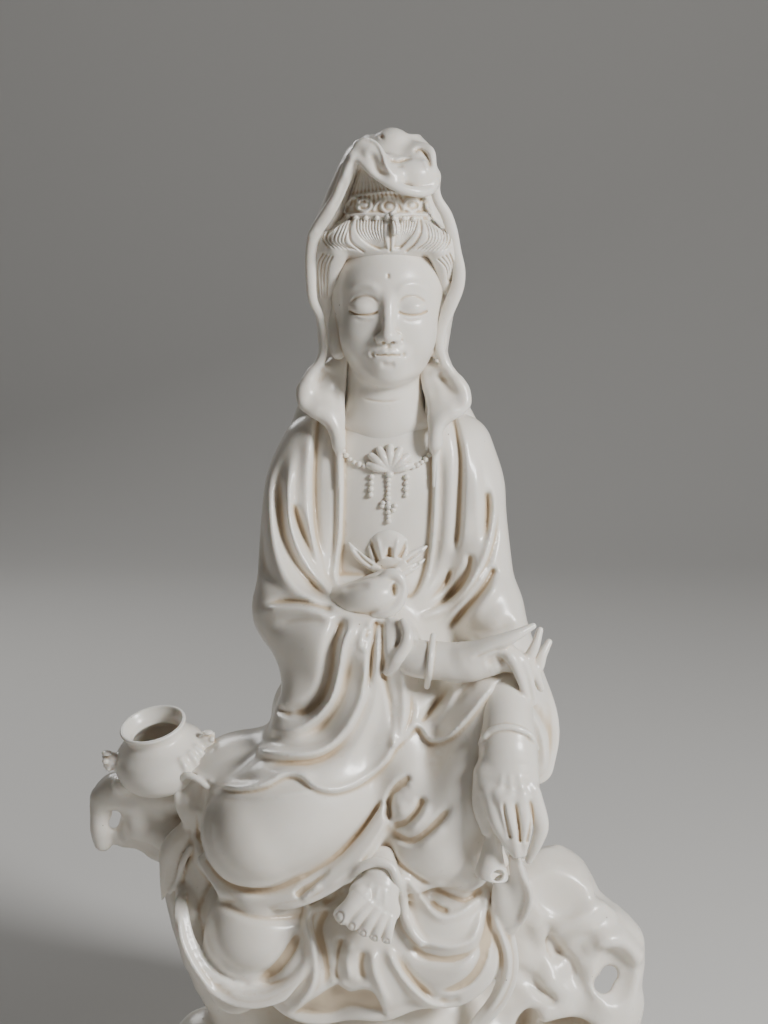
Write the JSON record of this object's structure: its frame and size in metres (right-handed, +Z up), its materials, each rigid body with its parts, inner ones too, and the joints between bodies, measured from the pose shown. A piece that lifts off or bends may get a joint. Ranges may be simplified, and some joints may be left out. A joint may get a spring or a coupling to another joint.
{
  "type": "guanyin figure",
  "caption": "White porcelain figure of Guanyin seated at ease on pierced rockwork, one knee raised, a veil over the topknot, with a small open jar on the ledge beside it.",
  "frame": {"origin": "centre of the flat underside of the rock that the figure sits on", "axes": "+Z up along the figure, -Y towards the viewer that it faces, +X to that viewer's right"},
  "size_m": [0.2398, 0.1374, 0.43],
  "materials": {
    "porcelain": "ivory white porcelain under a clear satin glaze, creamier where the glaze pools in the folds"
  },
  "bodies": {
    "root": {"figure_and_rock": "porcelain", "jar": "porcelain"}
  },
  "joints": []
}
